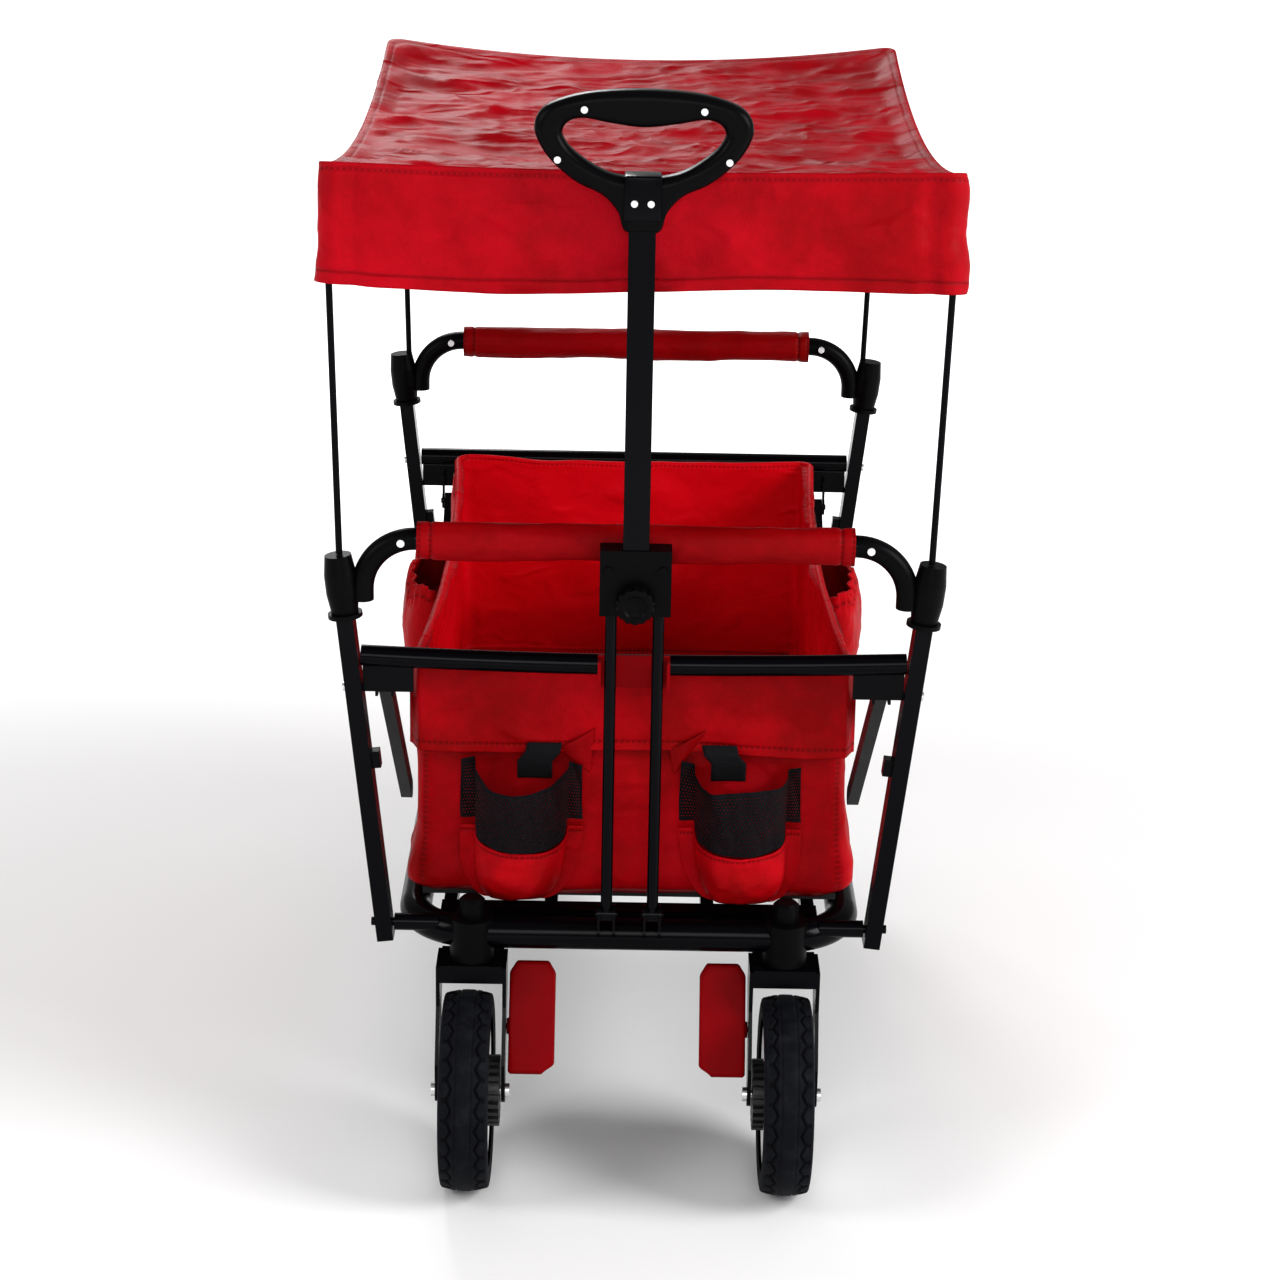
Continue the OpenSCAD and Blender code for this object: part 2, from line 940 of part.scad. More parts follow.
caster_fork(left);  // caster_fork_left
caster_axle(left);  // caster_axle_left
rim(left, front);  // front_rim_left
tyre(left, front);  // front_tyre_left
brake_pedal(left);  // brake_pedal_left
caster_fork(right);  // caster_fork_right
caster_axle(right);  // caster_axle_right
rim(right, front);  // front_rim_right
tyre(right, front);  // front_tyre_right
brake_pedal(right);  // brake_pedal_right
rim(left, rear);  // rear_rim_left
tyre(left, rear);  // rear_tyre_left
rim(right, rear);  // rear_rim_right
tyre(right, rear);  // rear_tyre_right
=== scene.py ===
import json
import math

import bmesh
import bpy
import numpy as np
from mathutils import Matrix, Vector, noise


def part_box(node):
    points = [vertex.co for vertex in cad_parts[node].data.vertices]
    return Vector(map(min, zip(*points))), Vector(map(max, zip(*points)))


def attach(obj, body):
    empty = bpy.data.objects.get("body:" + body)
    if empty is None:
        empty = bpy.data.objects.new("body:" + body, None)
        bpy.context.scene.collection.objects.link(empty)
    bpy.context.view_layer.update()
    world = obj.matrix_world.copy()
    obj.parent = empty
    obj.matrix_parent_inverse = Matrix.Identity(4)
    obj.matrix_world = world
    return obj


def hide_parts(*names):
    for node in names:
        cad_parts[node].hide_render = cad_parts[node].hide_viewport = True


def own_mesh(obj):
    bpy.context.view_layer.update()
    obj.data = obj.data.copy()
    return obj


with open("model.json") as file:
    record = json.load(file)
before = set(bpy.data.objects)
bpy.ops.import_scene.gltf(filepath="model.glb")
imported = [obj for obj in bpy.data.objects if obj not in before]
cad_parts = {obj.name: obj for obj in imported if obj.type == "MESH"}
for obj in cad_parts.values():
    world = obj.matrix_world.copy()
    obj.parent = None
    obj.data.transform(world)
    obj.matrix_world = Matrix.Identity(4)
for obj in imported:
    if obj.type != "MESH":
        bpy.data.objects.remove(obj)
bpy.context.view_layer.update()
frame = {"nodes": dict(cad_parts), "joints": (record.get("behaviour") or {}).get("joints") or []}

MM = 0.001
SIDES = {"left": -1, "right": 1}
ENDS = {"front": -1, "rear": 1}


def add_object(name, data):
    made = bpy.data.objects.new(name, data)
    bpy.context.scene.collection.objects.link(made)
    return made


# ---------- camera ----------

def place_camera():
    """Stands where a person looks down the wagon from the handle's end."""
    pitch, yaw, roll = (math.radians(a) for a in (18.98, 0.42, 1.13))
    stand = (-0.0135, -2.926, 1.402)
    ahead = Vector((math.sin(yaw) * math.cos(pitch), math.cos(yaw) * math.cos(pitch), -math.sin(pitch)))
    level = Vector((math.cos(yaw), -math.sin(yaw), 0))
    upright = level.cross(ahead)
    across = level * math.cos(roll) + upright * math.sin(roll)
    upward = across.cross(ahead)
    data = bpy.data.cameras.new("camera")
    data.lens = 84.4
    data.sensor_width = 36
    turn = Matrix((across, upward, -ahead)).transposed()
    camera = add_object("camera", data)
    camera.matrix_world = Matrix.Translation(stand) @ turn.to_4x4()
    bpy.context.scene.camera = camera


place_camera()


# ---------- shader expressions ----------

class Value:
    """A number that varies over a surface. Arithmetic on it adds Math nodes."""

    def __init__(self, paint, socket):
        self.paint = paint
        self.socket = socket

    def math(self, operation, *others):
        return self.paint.value("ShaderNodeMath", {"operation": operation}, self, *others)

    def __add__(self, other):
        return self.math("ADD", other)

    def __sub__(self, other):
        return self.math("SUBTRACT", other)

    def __rsub__(self, other):
        return self.paint.value("ShaderNodeMath", {"operation": "SUBTRACT"}, other, self)

    def __mul__(self, other):
        return self.math("MULTIPLY", other)

    def __truediv__(self, other):
        return self.math("DIVIDE", other)

    def __pow__(self, other):
        return self.math("POWER", other)

    def __lt__(self, other):
        return self.math("LESS_THAN", other)

    def __gt__(self, other):
        return self.math("GREATER_THAN", other)

    def __mod__(self, other):
        return self.math("FLOORED_MODULO", other)

    def __abs__(self):
        return self.math("ABSOLUTE")

    __radd__ = __add__
    __rmul__ = __mul__


class Paint:
    """One material, with its constants set on the shader itself."""

    def __init__(self, name, **constants):
        self.material = bpy.data.materials.new(name)
        self.material.use_nodes = True
        self.tree = self.material.node_tree
        self.shader = self.tree.nodes["Principled BSDF"]
        for label, constant in constants.items():
            self.shader.inputs[label.replace("_", " ")].default_value = constant

    def node(self, kind, settings, *sockets, **named):
        """Adds a node. Settings come first, then sockets in order and by name."""
        made = self.tree.nodes.new(kind)
        for key, setting in settings.items():
            setattr(made, key, setting)
        for key, given in [*enumerate(sockets), *named.items()]:
            self.feed(made.inputs[key], given)
        return made

    def feed(self, target, given):
        if isinstance(given, Value):
            given = given.socket
        if isinstance(given, bpy.types.NodeSocket):
            self.tree.links.new(given, target)
        else:
            target.default_value = given

    def value(self, kind, settings, *sockets, **named):
        return Value(self, self.node(kind, settings, *sockets, **named).outputs[0])

    def place(self):
        """The point on the object, in its own axes."""
        return self.node("ShaderNodeTexCoord", {}).outputs["Object"]

    def along(self, axis):
        split = self.node("ShaderNodeSeparateXYZ", {}, self.place())
        return Value(self, split.outputs[axis])

    def stored(self, name):
        """A number kept on the mesh, such as the distance along a hem."""
        found = self.node("ShaderNodeAttribute", {"attribute_type": "GEOMETRY", "attribute_name": name})
        return Value(self, found.outputs["Fac"])

    def noise(self, scale, detail=4.0, roughness=0.55, stretch=(1, 1, 1), kind="FBM", distortion=0.0):
        where = self.node("ShaderNodeVectorMath", {"operation": "MULTIPLY"}, self.place(), stretch).outputs[0]
        return self.value("ShaderNodeTexNoise", {"noise_type": kind}, Vector=where, Scale=scale,
                          Detail=detail, Roughness=roughness, Distortion=distortion)

    def ramp(self, given, low, high):
        """0 below low, 1 above high, smooth between."""
        return self.value("ShaderNodeMapRange", {"interpolation_type": "SMOOTHSTEP"}, given, low, high, 0.0, 1.0)

    def blend(self, share, first, second):
        """From the first colour to the second, by share."""
        mix = self.node("ShaderNodeMix", {"data_type": "RGBA"})
        self.feed(mix.inputs["Factor"], share)
        for target, colour in ((mix.inputs[6], first), (mix.inputs[7], second)):
            self.feed(target, (*colour, 1) if isinstance(colour, tuple) else colour)
        return mix.outputs[2]

    def bump(self, height, depth, under=None):
        made = self.node("ShaderNodeBump", {}, Height=height, Strength=1.0, Distance=depth)
        if under:
            self.feed(made.inputs["Normal"], under)
        return made.outputs[0]

    def finish(self, **inputs):
        for label, given in inputs.items():
            self.feed(self.shader.inputs[label.replace("_", " ")], given)
        return self.material


def shade(colour, share):
    return tuple(c * share for c in colour)


# ---------- materials ----------

def red_cloth(name, dark, light, creases):
    """Tightly woven polyester: patchy dye, fine weave, dry creases, stitches along its seams, and painted light where
    the mesh asks for it.
    """
    # Painted light: a brighter red for the tub's inner walls, where light falls on them.
    painted_inner_light = (0.62, 0.0006, 0.010)
    stitch_pitch, stitch_gap = 0.0052, 0.0016
    paint = Paint(name, Specular_IOR_Level=0.08)
    patches = paint.noise(9, 6, 0.65)
    dye = paint.blend(paint.ramp(patches, 0.32, 0.68), dark, light)
    # Painted light brightens the cloth wherever the mesh asks for it.
    dye = paint.blend(paint.stored("painted_inner_light"), dye, painted_inner_light)
    threads = paint.noise(900, 2, 0.5, (1, 1, 0.4))
    dye = paint.blend(threads * 0.22, dye, shade(dark, 0.55))
    crumple = paint.noise(11, 5, 0.6, (0.7, 1.5, 1.1), "RIDGED_MULTIFRACTAL", 0.5)
    folds = paint.noise(34, 4, 0.55, (0.6, 1.4, 1), "RIDGED_MULTIFRACTAL", 0.8)
    normal = paint.bump(crumple, 0.0105 * creases)
    normal = paint.bump(folds, 0.0034 * creases, normal)
    normal = paint.bump(threads, 0.00025, normal)
    seam = paint.stored("seam")
    thread = (paint.stored("along") % stitch_pitch > stitch_gap) * seam
    dye = paint.blend(thread * 0.75, dye, shade(dark, 0.35))
    normal = paint.bump(1 - seam, 0.0007, normal)
    return paint.finish(Base_Color=dye, Roughness=0.42 + patches * 0.22, Normal=normal)


def black_coat(name, tint, rough, grain=0.00004, coat=0.0):
    """Powder coat or moulded plastic with a fine skin and slight handling marks."""
    paint = Paint(name, Coat_Roughness=0.12, Coat_Weight=coat, Specular_IOR_Level=0.06)
    smear = paint.noise(26, 5, 0.6)
    skin = paint.noise(1500, 2, 0.5)
    marks = paint.ramp(paint.noise(70, 8, 0.75, (1, 1, 0.25)), 0.62, 0.78)
    dye = paint.blend(marks * 0.3, tint, tuple(c * 2 + 0.006 for c in tint))
    return paint.finish(Base_Color=dye, Roughness=rough + smear * 0.14, Normal=paint.bump(skin, grain))


def bare_zinc():
    """Hazy zinc plating on rivets, screws and axle ends."""
    paint = Paint("zinc_plate", Metallic=1.0)
    haze = paint.noise(300, 5, 0.7)
    dye = paint.blend(haze, (0.52, 0.53, 0.55), (0.86, 0.86, 0.85))
    return paint.finish(Base_Color=dye, Roughness=0.22 + haze * 0.2, Normal=paint.bump(haze, 0.00005))


def tyre_foam():
    """Dark foam rubber, dusty in patches, with painted shade down in the grooves."""
    paint = Paint("tyre_foam", Specular_IOR_Level=0.08)
    dust = paint.noise(60, 7, 0.7)
    grain = paint.noise(1100, 3, 0.6)
    dye = paint.blend(paint.ramp(dust, 0.4, 0.75), (0.006, 0.0065, 0.009), (0.014, 0.015, 0.019))
    # Painted shade: the foam is painted darker down in the grooves.
    dye = paint.blend(paint.stored("groove") * 0.8, dye, (0.003, 0.003, 0.0035))
    return paint.finish(Base_Color=dye, Roughness=0.55 + dust * 0.25, Normal=paint.bump(grain, 0.00012))


def wheel_white():
    """White rim moulding; the brake disc, nearest the middle of the wagon, is black."""
    paint = Paint("rim_white", Specular_IOR_Level=0.5)
    disc_edge = abs(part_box("front_tyre_right")[0].x) + 3.5 * MM
    inboard = abs(paint.along("X")) < disc_edge
    grime = paint.noise(45, 7, 0.7)
    dye = paint.blend(paint.ramp(grime, 0.45, 0.8) * 0.35, (0.78, 0.78, 0.78), (0.5, 0.49, 0.47))
    dye = paint.blend(inboard, dye, (0.012, 0.012, 0.013))
    return paint.finish(Base_Color=dye, Roughness=0.35 + grime * 0.2, Normal=paint.bump(grime, 0.0001))


def red_mould():
    """Red moulded plastic with flow marks."""
    tint = (0.21, 0.0003, 0.003)
    paint = Paint("red_moulding", Specular_IOR_Level=0.05)
    flow = paint.noise(14, 5, 0.6)
    grain = paint.noise(1300, 2, 0.5)
    dye = paint.blend(flow, shade(tint, 0.75), shade(tint, 1.2))
    return paint.finish(Base_Color=dye, Roughness=0.3 + flow * 0.16, Normal=paint.bump(grain, 0.00008))


def black_net():
    """Knitted mesh: small round holes in staggered rows, none in its hems."""
    pitch, row_shift = 0.0034, 0.5
    hole_r, thread_r = 0.15, 0.21
    paint = Paint("black_net", Specular_IOR_Level=0.06)
    across = paint.stored("across") / pitch
    row = paint.stored("along") / pitch
    shift = (across % 2.0 > 1.0) * row_shift
    u = abs((across % 1.0) - 0.5)
    v = abs(((row + shift) % 1.0) - 0.5)
    knit = paint.ramp((u * u + v * v) ** 0.5, hole_r, thread_r)
    solid = (knit + paint.stored("seam")).math("MINIMUM", 1.0)
    fuzz = paint.noise(400, 3, 0.6)
    dye = paint.blend(fuzz, (0.003, 0.003, 0.004), (0.014, 0.014, 0.016))
    return paint.finish(Base_Color=dye, Roughness=0.75 + fuzz * 0.2, Alpha=solid, Normal=paint.bump(knit, 0.0003))


def black_webbing():
    """Narrow woven strap with ribs across it."""
    tint, rib_pitch = (0.008, 0.008, 0.009), 0.0018
    paint = Paint("black_webbing", Specular_IOR_Level=0.08)
    ribs = abs((paint.stored("along") / rib_pitch) % 1.0 - 0.5)
    fuzz = paint.noise(500, 3, 0.6)
    dye = paint.blend(fuzz, tint, shade(tint, 2))
    return paint.finish(Base_Color=dye, Roughness=0.7 + fuzz * 0.2, Normal=paint.bump(ribs, 0.0004))


def deck_board():
    """Grained black board under the tub."""
    paint = Paint("deck_board", Specular_IOR_Level=0.35)
    grain = paint.noise(60, 8, 0.7, (1, 6, 1))
    dye = paint.blend(grain, (0.018, 0.018, 0.019), (0.05, 0.05, 0.052))
    return paint.finish(Base_Color=dye, Roughness=0.55 + grain * 0.3, Normal=paint.bump(grain, 0.0002))


canopy_cloth = red_cloth("canopy_cloth", (0.25, 0.0, 0.003), (0.42, 0.0008, 0.011), 1.0)
tub_cloth = red_cloth("tub_cloth", (0.24, 0.0, 0.001), (0.44, 0.0003, 0.007), 1.0)
# A darker copy of the red cloth with painted shade, for the grip sleeves and the net tabs.
painted_shade_cloth = red_cloth("painted_shade_cloth", (0.20, 0.0, 0.001), (0.29, 0.0002, 0.004), 0.6)
frame_coat = black_coat("frame_coat", (0.0015, 0.0015, 0.0026), 0.14, coat=0.06)
black_mould = black_coat("black_mould", (0.0028, 0.0028, 0.0034), 0.3, 0.00008)
grip_rubber = black_coat("grip_rubber", (0.003, 0.003, 0.0036), 0.26, 0.00005)
rod_coat = black_coat("rod_coat", (0.003, 0.003, 0.004), 0.28)
brace_coat = black_coat("brace_coat", (0.006, 0.006, 0.007), 0.26)
zinc = bare_zinc()
foam = tyre_foam()
rim_white = wheel_white()
red_plastic = red_mould()
net = black_net()
webbing = black_webbing()
board = deck_board()


# ---------- making meshes ----------

def store(mesh, key, numbers):
    """Keeps one number for each point, which a material reads by its name."""
    layer = mesh.attributes.new(key, "FLOAT", "POINT")
    layer.data.foreach_set("value", np.array(numbers, np.float32))


def sheet_mesh(name, rows, columns, point, closed=False, marks=None, cap_first=False, cap_last=False):
    """A grid of points. point(u, v) gives a place for u across 0..1 and v down 0..1. marks(u, v) gives what the
    material reads there: how far along and across the cloth, how much of a seam it is, and how much painted light
    brightens it."""
    keys = ("along", "across", "seam", "painted_inner_light")
    steps = columns if closed else columns + 1
    places, notes, faces = [], [], []
    for j in range(rows + 1):
        for i in range(steps):
            u, v = i / columns, j / rows
            places.append(point(u, v))
            given = marks(u, v) if marks else ()
            notes.append((*given, *[0] * len(keys))[:len(keys)])
    for j in range(rows):
        for i in range(columns):
            a, b = j * steps + i, j * steps + (i + 1) % steps
            faces.append((a, b, b + steps, a + steps))
    for wanted, first in ((cap_first, 0), (cap_last, rows * steps)):
        if wanted:
            centre = sum((Vector(places[first + i]) for i in range(steps)), Vector()) / steps
            places.append(centre)
            notes.append(notes[first])
            fan = [(len(places) - 1, first + (i + 1) % steps, first + i) for i in range(steps)]
            faces += [f if first == 0 else f[::-1] for f in fan]
    mesh = bpy.data.meshes.new(name)
    mesh.from_pydata([tuple(p) for p in places], [], faces)
    for k, key in enumerate(keys):
        store(mesh, key, [n[k] for n in notes])
    mesh.shade_smooth()
    return add_object(name, mesh)


def from_bmesh(name, bm):
    mesh = bpy.data.meshes.new(name)
    bm.to_mesh(mesh)
    bm.free()
    mesh.shade_smooth()
    return add_object(name, mesh)


def thicken(piece, thickness, offset=-1.0):
    """Gives a sheet its real thickness, and keeps it on the mesh."""
    solid = piece.modifiers.new("thickness", "SOLIDIFY")
    solid.thickness = thickness
    solid.offset = offset
    bpy.context.view_layer.update()
    ready = piece.evaluated_get(bpy.context.evaluated_depsgraph_get())
    mesh = bpy.data.meshes.new_from_object(ready)
    piece.modifiers.clear()
    piece.data = mesh
    return piece


def weld(piece):
    """Joins points of a closed grid that share a place."""
    bm = bmesh.new()
    bm.from_mesh(piece.data)
    bmesh.ops.remove_doubles(bm, verts=bm.verts, dist=1e-5)
    bmesh.ops.recalc_face_normals(bm, faces=bm.faces)
    bm.to_mesh(piece.data)
    bm.free()
    piece.data.shade_smooth()


def rounded_box(name, low, high, r):
    bm = bmesh.new()
    bmesh.ops.create_cube(bm, size=1)
    bmesh.ops.scale(bm, vec=high - low, verts=bm.verts)
    bmesh.ops.translate(bm, vec=(high + low) / 2, verts=bm.verts)
    bmesh.ops.bevel(bm, geom=bm.edges[:], offset=r, segments=4, profile=0.5, affect="EDGES")
    return from_bmesh(name, bm)


def paint_over(piece, material):
    piece.data.materials.clear()
    piece.data.materials.append(material)


def dress(piece, body, material, slot, *nodes):
    """Gives a piece its material and the body that it rides on, and hides the CAD nodes that it stands for. The slot is
    not used.
    """
    paint_over(piece, material)
    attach(piece, body)
    if nodes:
        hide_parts(*nodes)


def fold_down(piece, height):
    """Gives a soft piece a mesh of its own. The height is not used."""
    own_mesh(piece)


def smoothstep(low, high, x):
    t = min(1.0, max(0.0, (x - low) / (high - low)))
    return t * t * (3 - 2 * t)


def bell(x, centre, width):
    return math.exp(-((x - centre) / width) ** 2)


def ridge(where, scale):
    """Crumple height from 0 to about 1, with sharp crests."""
    return noise.ridged_multi_fractal(Vector(where) * scale, 0.9, 2.1, 4, 0.9, 1.6) / 2.2


def swell(where, scale):
    """Soft waves, about -1 to 1."""
    return noise.fractal(Vector(where) * scale, 0.8, 2.0, 3)


def round_rect(t, half_x, half_y, r):
    """A point and outward normal at share t of the way round a rounded rectangle, from the middle of its front."""
    flat_x, flat_y, arc = half_x - r, half_y - r, math.pi / 2 * r
    lengths = [flat_x, arc, 2 * flat_y, arc, 2 * flat_x, arc, 2 * flat_y, arc, flat_x]
    left_over = t * sum(lengths)
    for part, length in enumerate(lengths):
        if left_over <= length or part == 8:
            break
        left_over -= length
    corners = {1: (1, -1, -90), 3: (1, 1, 0), 5: (-1, 1, 90), 7: (-1, -1, 180)}
    if part in corners:
        sx, sy, start = corners[part]
        a = math.radians(start) + left_over / r
        normal = Vector((math.cos(a), math.sin(a)))
        return Vector((sx * flat_x, sy * flat_y)) + r * normal, normal
    straights = {0: ((left_over, -half_y), (0, -1)), 2: ((half_x, -flat_y + left_over), (1, 0)),
                 4: ((flat_x - left_over, half_y), (0, 1)), 6: ((-half_x, flat_y - left_over), (-1, 0)),
                 8: ((-flat_x + left_over, -half_y), (0, -1))}
    where, normal = straights[part]
    return Vector(where), Vector(normal)


# ---------- canopy ----------

def canopy_cover():
    """One cover: a sagging top, a deep valance on four sides and a stitched hem."""
    half_x, half_y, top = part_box("canopy_top")[1]
    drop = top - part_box("canopy_valances")[0].z
    corner, top_share, girth = 0.016, 0.66, 2 * math.pi * 0.42
    rear_dip, front_dip, mid_sag = 0.02, 0.004, 0.047
    crumple, crinkle, roll = 0.0145, 0.0075, 0.004
    flare, billow, wave, crease, pleat, scallop = 0.006, 0.0028, 0.0060, 0.0042, 0.003, 0.003
    stitch, hem_seam, top_seam, side_seam, twin_gap = 0.0012, 0.011, 0.007, 0.030, 0.009

    def sag(x, y):
        a, b = x / half_x, y / half_y
        dip = rear_dip if y > 0 else front_dip
        return mid_sag * (1 - b * b) * (1 - 0.12 * a * a) + dip * (1 - a * a) * b * b

    def on_top(flat, share):
        x, y = flat * share
        inside = 1 - smoothstep(0.90, 1.0, share)
        lift = crumple * (ridge((x * 0.6, y * 1.5, 0.3), 7) - 0.5)
        lift += crinkle * (ridge((x * 0.7, y * 1.3, 4.1), 19) - 0.5) + roll * swell((x, y, 0), 5)
        return Vector((x, y, top - sag(x, y) + inside * lift))

    def on_valance(u, flat, normal, down):
        x, y = flat
        out = flare * down + billow * math.sin(9 * down) * swell((x, y, 5), 6)
        out += 0.8 * wave * down * swell((x, y, 2 + down * 0.25), 7)
        out += 0.8 * crease * (ridge((x, y, 7 + down * 0.2), 9) - 0.4)
        out -= pleat * bell(abs(x), half_x - side_seam, 0.008) * abs(normal.y)
        out *= smoothstep(0.0, 0.06, down)
        reach = drop - 0.35 * sag(x, y) - scallop * math.sin(u * 2 * math.pi * 5)
        return Vector((x + normal.x * out, y + normal.y * out, top - sag(x, y) - reach * down))

    def point(u, v):
        flat, normal = round_rect(u, half_x, half_y, corner)
        if v <= top_share:
            return on_top(flat, v / top_share)
        return on_valance(u, flat, normal, (v - top_share) / (1 - top_share))

    def marks(u, v):
        flat, normal = round_rect(u, half_x, half_y, corner)
        lap = girth * u
        if v <= top_share:
            edge = (1 - v / top_share) * half_x
            return lap, edge, bell(edge, top_seam, stitch)
        height = (1 - (v - top_share) / (1 - top_share)) * drop
        level = bell(height, hem_seam, stitch) + bell(height, drop - 0.006, stitch)
        upright = sum(bell(abs(flat.x), half_x - side_seam + gap, stitch) for gap in (0, twin_gap)) * abs(normal.y)
        return (lap if level > 0.3 else height), height, min(1, level + upright)

    cover = sheet_mesh("canopy_cover", 170, 560, point, True, marks)
    weld(cover)
    thicken(cover, 0.0012)
    dress(cover, "canopy", canopy_cloth, "red_fabric", "canopy_top", "canopy_valances")
    fold_down(cover, 0.30)


# ---------- tub ----------

def tub_shape():
    """Half width, half length, bottom and top of the tub's walls."""
    low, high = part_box("tub_walls")
    return high.x, high.y, low.z, high.z


def tub():
    """Double-skinned walls on four sides, one piece with the floor, slack between the corners."""
    half_x, half_y, bottom, top = tub_shape()
    floor_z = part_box("tub_floor")[1].z
    corner, wall, girth = 0.022, 0.007, 2.2
    outside, over, inside = 0.42, 0.5, 0.9
    slack, side_dip, end_dip, edge_wave = 0.012, 0.010, 0.004, 0.004
    belly, baggy, tuck, crumple, roll = 0.004, 0.008, 0.012, 0.0100, 0.006
    proud = 0.0075
    stitch, hem_seam, side_seam = 0.0012, 0.022, 0.012

    def edge_drop(x, y, normal):
        """The walls hang lower between the corners, most of all on the long sides."""
        sides = side_dip * abs(normal.x) * (1 - (y / half_y) ** 2)
        ends = end_dip * abs(normal.y) * (1 - (x / half_x) ** 2)
        return sides + edge_wave * swell((x, y, 0.5), 7) + ends

    def point(u, v):
        flat, normal = round_rect(u, half_x, half_y, corner)
        x, y = flat
        lip = top - 0.004 - edge_drop(x, y, normal)
        slack_in = slack * abs(normal.x) * (1 - (y / half_y) ** 2)
        if v < outside:
            share = v / outside
            z = bottom + 0.003 + (lip - bottom) * share
            out = belly * math.sin(math.pi * min(1, share * 1.3)) * abs(normal.y) - slack_in * share ** 2
            out += baggy * bell(share, 0.09, 0.11) * smoothstep(0.1, 0.3, -y)
            out -= tuck * (1 - smoothstep(0, 0.05, share))
            out += crumple * (ridge((x, y, z * 0.7), 7) - 0.55)
            out += roll * swell((x, y, z * 0.6), 6) * (1 - share * 0.5)
            under_braces = abs(normal.x) > 0.5 and y > 0.08
            out = min(out, 0.0 if under_braces else proud)
        elif v < over:
            a = math.pi * (v - outside) / (over - outside)
            out = -slack_in - wall / 2 * (1 - math.cos(a))
            z = lip + wall / 2 * math.sin(a)
        elif v < inside:
            share = (v - over) / (inside - over)
            z = lip + (floor_z + 0.002 - lip) * share
            out = -wall - slack_in * (1 - share) ** 2 - 0.0024 * math.sin(math.pi * share)
            out += crumple * (ridge((x, y, z * 0.6 + 3), 7) - 0.55) + roll * swell((x, y, z * 0.7 + 2), 5)
            out = min(out, -wall + 0.001)
        else:
            share = (v - inside) / (1 - inside)
            inset = wall + 0.004
            x *= (1 - inset / half_x) * (1 - share)
            y *= (1 - inset / half_y) * (1 - share)
            return Vector((x, y, floor_z + 0.003 + 0.0025 * ridge((x, y, 1), 7) * (1 - share)))
        return Vector((x + normal.x * out, y + normal.y * out, z))

    def marks(u, v):
        flat, normal = round_rect(u, half_x, half_y, corner)
        height = abs(v - (outside + over) / 2) / outside * (top - bottom)
        level = bell(height, hem_seam, 0.0015) + bell(v, inside, 0.003)
        upright = bell(abs(flat.x), half_x - side_seam, stitch) * abs(normal.y) * (v < over)
        # Painted light on the inner walls, fading a little towards the floor.
        painted_inner_light = smoothstep(outside + 0.01, over, v) * (1 - 0.35 * smoothstep(0.75, inside, v))
        return (girth * u if level > upright else height), height, min(1, level + upright), painted_inner_light

    made = sheet_mesh("tub", 190, 460, point, True, marks)
    dress(made, "base", tub_cloth, "red_fabric", "tub_walls", "tub_floor")
    depth = top - bottom
    skins = 2 * 4 * (half_x + half_y) * depth + 4 * half_x * half_y
    width, length = 2 * (half_x + 2 * depth), 2 * (half_y + 2 * depth)
    min(skins, width * length)
    fold_down(made, floor_z + 0.006)


def front_flap():
    """The flap that covers the top of the front wall, with a turned hem."""
    half_x, half_y, bottom, top = tub_shape()
    length, half, off_wall, curl_in = 0.086, half_x + 0.002, 0.006, 0.018

    def point(u, v):
        x = (2 * u - 1) * half
        z = top - 0.002 - length * v - 0.003 * math.sin(u * 9) * v
        out = 0.002 + off_wall * smoothstep(0, 0.35, v) + 0.006 * v * swell((x, 3, v * 0.2), 6)
        out += 0.0035 * (ridge((x, v * 0.1, 9), 9) - 0.4) * smoothstep(0, 0.2, v)
        out -= curl_in * smoothstep(0.95, 1.0, abs(2 * u - 1))
        return Vector((x, -half_y - out, z))

    def marks(u, v):
        height = (1 - v) * length
        return u * 2 * half, height, bell(height, 0.008, 0.0012)

    flap = thicken(sheet_mesh("front_flap", 60, 260, point, False, marks), 0.0015, 1.0)
    dress(flap, "base", tub_cloth, "red_fabric")
    fold_down(flap, bottom)


def side_pocket(side_name):
    """A gathered outside pocket whose mouth stands away from the wall."""
    side = SIDES[side_name]
    half_x, _, bottom, _ = tub_shape()
    low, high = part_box("side_pockets")
    middle, half, height = (low.y + high.y) / 2, (high.y - low.y) / 2, high.z - low.z
    reach, width, foot = 0.040, 2.4 * half, 0.008

    def point(u, v):
        bow = math.sin(math.pi * u)
        y = middle - half * math.cos(math.pi * u) * (0.90 + 0.10 * v)
        z = low.z - foot + (height + foot) * v + 0.005 * math.sin(6 * u * math.pi) * v
        belly = 0.25 + 0.75 * math.sin(math.pi * (0.12 + 0.70 * v)) ** 0.8
        gather = 0.0022 * math.sin(u * 110) * smoothstep(0.75, 0.95, v)
        x = half_x - 0.008 + reach * belly * bow ** 0.5 + gather
        x += 0.009 * (ridge((y, z, side), 8) - 0.5) * bow
        return Vector((side * x, y, z))

    def marks(u, v):
        from_top = (1 - v) * height
        return u * width, from_top, bell(from_top, 0.010, 0.0014)

    pocket = thicken(sheet_mesh(f"side_pocket_{side_name}", 50, 120, point, False, marks), 0.0015)
    dress(pocket, "base", tub_cloth, "red_fabric", *(["side_pockets"] if side_name == "left" else []))
    fold_down(pocket, bottom)


# ---------- cup holders ----------

